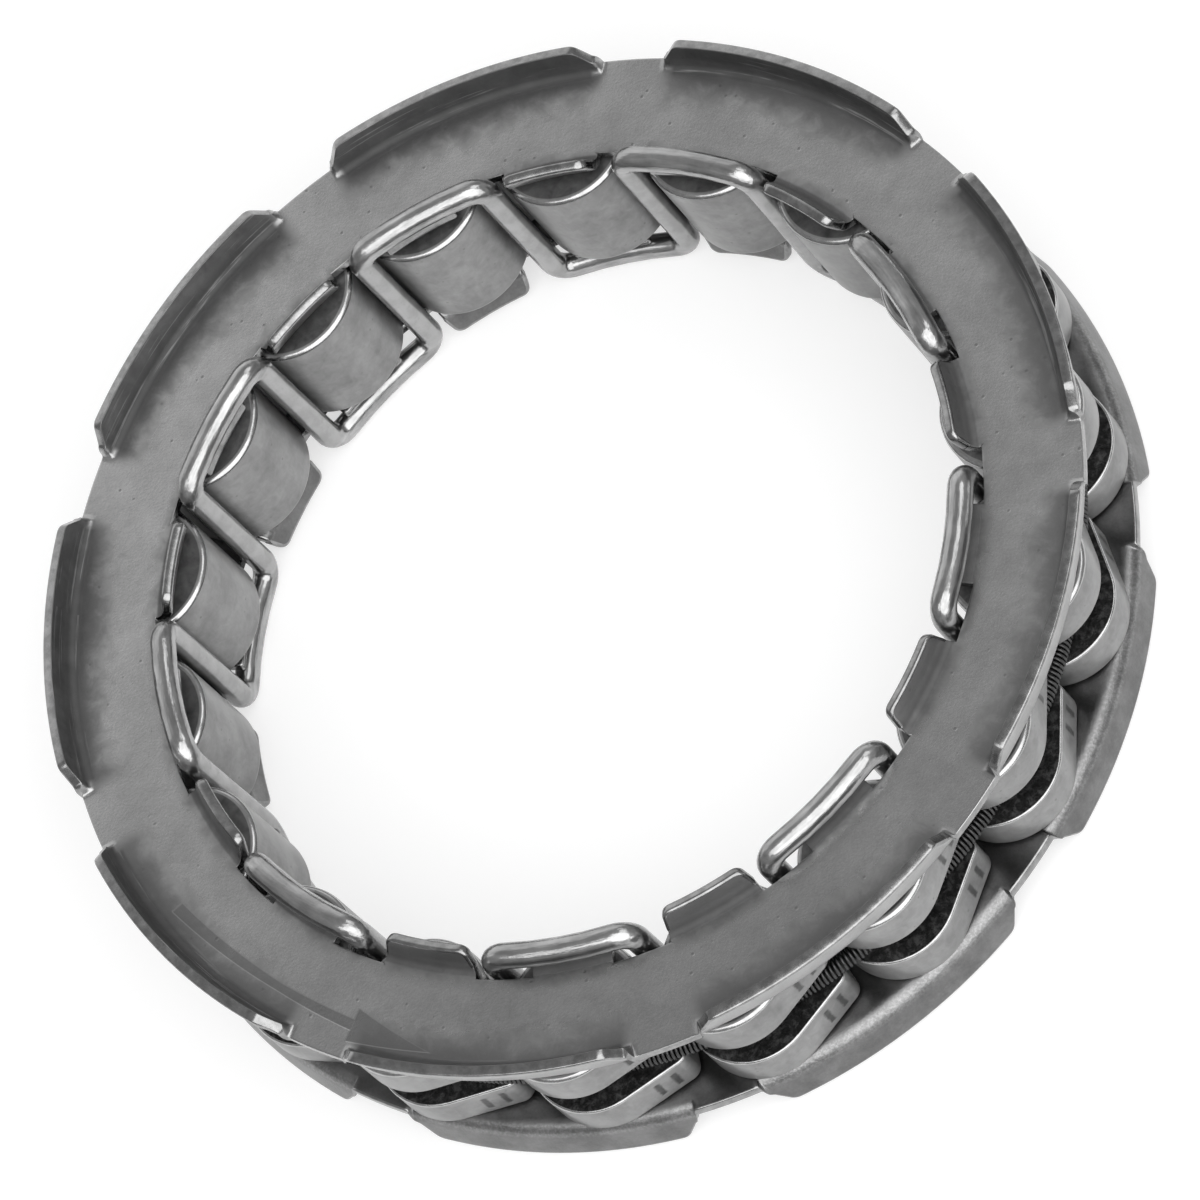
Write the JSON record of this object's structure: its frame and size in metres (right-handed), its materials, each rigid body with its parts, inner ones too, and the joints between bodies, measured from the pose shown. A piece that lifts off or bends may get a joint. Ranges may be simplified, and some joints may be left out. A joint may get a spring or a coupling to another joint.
{
  "type": "sprag clutch",
  "caption": "Ring of rocking sprags in a stamped two-plate cage, joined by a zigzag wire and drawn in by a garter spring, for a one-way drive.",
  "frame": {"origin": "on the clutch axis, half way between the rims of the two plates", "axes": "+Z along the clutch axis out of the front plate; +X is 5 degrees before a gap between two outer flanges"},
  "size_m": [0.0634, 0.0634, 0.013],
  "materials": {
    "plate_steel": "stamped and oiled, with darker stains beside the bends",
    "wire_steel": "drawn, bright",
    "spring_steel": "drawn, dark",
    "sprag_steel": "ground smooth, with rough groove walls"
  },
  "bodies": {
    "cage": {"front_plate": "plate_steel", "rear_plate": "plate_steel", "cage_wire": "wire_steel", "garter_spring": "spring_steel"},
    "sprag_01_body": {"sprag_01": "sprag_steel"},
    "sprag_02_body": {"sprag_02": "sprag_steel"},
    "sprag_03_body": {"sprag_03": "sprag_steel"},
    "sprag_04_body": {"sprag_04": "sprag_steel"},
    "sprag_05_body": {"sprag_05": "sprag_steel"},
    "sprag_06_body": {"sprag_06": "sprag_steel"},
    "sprag_07_body": {"sprag_07": "sprag_steel"},
    "sprag_08_body": {"sprag_08": "sprag_steel"},
    "sprag_09_body": {"sprag_09": "sprag_steel"},
    "sprag_10_body": {"sprag_10": "sprag_steel"},
    "sprag_11_body": {"sprag_11": "sprag_steel"},
    "sprag_12_body": {"sprag_12": "sprag_steel"},
    "sprag_13_body": {"sprag_13": "sprag_steel"},
    "sprag_14_body": {"sprag_14": "sprag_steel"},
    "sprag_15_body": {"sprag_15": "sprag_steel"},
    "sprag_16_body": {"sprag_16": "sprag_steel"},
    "sprag_17_body": {"sprag_17": "sprag_steel"},
    "sprag_18_body": {"sprag_18": "sprag_steel"}
  },
  "joints": [
    {"name": "sprag_01_rock", "type": "hinge", "parent": "cage", "child": "sprag_01_body", "pos_m": [0.02616, 0.00701, 0], "axis": [0, 0, 1], "range_deg": [-3, 3], "stiffness_Nm_per_rad": 0.002},
    {"name": "sprag_02_rock", "type": "hinge", "parent": "cage", "child": "sprag_02_body", "pos_m": [0.02218, 0.01553, 0], "axis": [0, 0, 1], "range_deg": [-3, 3], "stiffness_Nm_per_rad": 0.002},
    {"name": "sprag_03_rock", "type": "hinge", "parent": "cage", "child": "sprag_03_body", "pos_m": [0.01553, 0.02218, 0], "axis": [0, 0, 1], "range_deg": [-3, 3], "stiffness_Nm_per_rad": 0.002},
    {"name": "sprag_04_rock", "type": "hinge", "parent": "cage", "child": "sprag_04_body", "pos_m": [0.00701, 0.02616, 0], "axis": [0, 0, 1], "range_deg": [-3, 3], "stiffness_Nm_per_rad": 0.002},
    {"name": "sprag_05_rock", "type": "hinge", "parent": "cage", "child": "sprag_05_body", "pos_m": [-0.00236, 0.02698, 0], "axis": [0, 0, 1], "range_deg": [-3, 3], "stiffness_Nm_per_rad": 0.002},
    {"name": "sprag_06_rock", "type": "hinge", "parent": "cage", "child": "sprag_06_body", "pos_m": [-0.01144, 0.02454, 0], "axis": [0, 0, 1], "range_deg": [-3, 3], "stiffness_Nm_per_rad": 0.002},
    {"name": "sprag_07_rock", "type": "hinge", "parent": "cage", "child": "sprag_07_body", "pos_m": [-0.01915, 0.01915, 0], "axis": [0, 0, 1], "range_deg": [-3, 3], "stiffness_Nm_per_rad": 0.002},
    {"name": "sprag_08_rock", "type": "hinge", "parent": "cage", "child": "sprag_08_body", "pos_m": [-0.02454, 0.01144, 0], "axis": [0, 0, 1], "range_deg": [-3, 3], "stiffness_Nm_per_rad": 0.002},
    {"name": "sprag_09_rock", "type": "hinge", "parent": "cage", "child": "sprag_09_body", "pos_m": [-0.02698, 0.00236, 0], "axis": [0, 0, 1], "range_deg": [-3, 3], "stiffness_Nm_per_rad": 0.002},
    {"name": "sprag_10_rock", "type": "hinge", "parent": "cage", "child": "sprag_10_body", "pos_m": [-0.02616, -0.00701, 0], "axis": [0, 0, 1], "range_deg": [-3, 3], "stiffness_Nm_per_rad": 0.002},
    {"name": "sprag_11_rock", "type": "hinge", "parent": "cage", "child": "sprag_11_body", "pos_m": [-0.02218, -0.01553, 0], "axis": [0, 0, 1], "range_deg": [-3, 3], "stiffness_Nm_per_rad": 0.002},
    {"name": "sprag_12_rock", "type": "hinge", "parent": "cage", "child": "sprag_12_body", "pos_m": [-0.01553, -0.02218, 0], "axis": [0, 0, 1], "range_deg": [-3, 3], "stiffness_Nm_per_rad": 0.002},
    {"name": "sprag_13_rock", "type": "hinge", "parent": "cage", "child": "sprag_13_body", "pos_m": [-0.00701, -0.02616, 0], "axis": [0, 0, 1], "range_deg": [-3, 3], "stiffness_Nm_per_rad": 0.002},
    {"name": "sprag_14_rock", "type": "hinge", "parent": "cage", "child": "sprag_14_body", "pos_m": [0.00236, -0.02698, 0], "axis": [0, 0, 1], "range_deg": [-3, 3], "stiffness_Nm_per_rad": 0.002},
    {"name": "sprag_15_rock", "type": "hinge", "parent": "cage", "child": "sprag_15_body", "pos_m": [0.01144, -0.02454, 0], "axis": [0, 0, 1], "range_deg": [-3, 3], "stiffness_Nm_per_rad": 0.002},
    {"name": "sprag_16_rock", "type": "hinge", "parent": "cage", "child": "sprag_16_body", "pos_m": [0.01915, -0.01915, 0], "axis": [0, 0, 1], "range_deg": [-3, 3], "stiffness_Nm_per_rad": 0.002},
    {"name": "sprag_17_rock", "type": "hinge", "parent": "cage", "child": "sprag_17_body", "pos_m": [0.02454, -0.01144, 0], "axis": [0, 0, 1], "range_deg": [-3, 3], "stiffness_Nm_per_rad": 0.002},
    {"name": "sprag_18_rock", "type": "hinge", "parent": "cage", "child": "sprag_18_body", "pos_m": [0.02698, -0.00236, 0], "axis": [0, 0, 1], "range_deg": [-3, 3], "stiffness_Nm_per_rad": 0.002}
  ],
  "couplings": [
    {"joint": "sprag_02_rock", "follows": "sprag_01_rock", "ratio": 1},
    {"joint": "sprag_03_rock", "follows": "sprag_01_rock", "ratio": 1},
    {"joint": "sprag_04_rock", "follows": "sprag_01_rock", "ratio": 1},
    {"joint": "sprag_05_rock", "follows": "sprag_01_rock", "ratio": 1},
    {"joint": "sprag_06_rock", "follows": "sprag_01_rock", "ratio": 1},
    {"joint": "sprag_07_rock", "follows": "sprag_01_rock", "ratio": 1},
    {"joint": "sprag_08_rock", "follows": "sprag_01_rock", "ratio": 1},
    {"joint": "sprag_09_rock", "follows": "sprag_01_rock", "ratio": 1},
    {"joint": "sprag_10_rock", "follows": "sprag_01_rock", "ratio": 1},
    {"joint": "sprag_11_rock", "follows": "sprag_01_rock", "ratio": 1},
    {"joint": "sprag_12_rock", "follows": "sprag_01_rock", "ratio": 1},
    {"joint": "sprag_13_rock", "follows": "sprag_01_rock", "ratio": 1},
    {"joint": "sprag_14_rock", "follows": "sprag_01_rock", "ratio": 1},
    {"joint": "sprag_15_rock", "follows": "sprag_01_rock", "ratio": 1},
    {"joint": "sprag_16_rock", "follows": "sprag_01_rock", "ratio": 1},
    {"joint": "sprag_17_rock", "follows": "sprag_01_rock", "ratio": 1},
    {"joint": "sprag_18_rock", "follows": "sprag_01_rock", "ratio": 1}
  ]
}
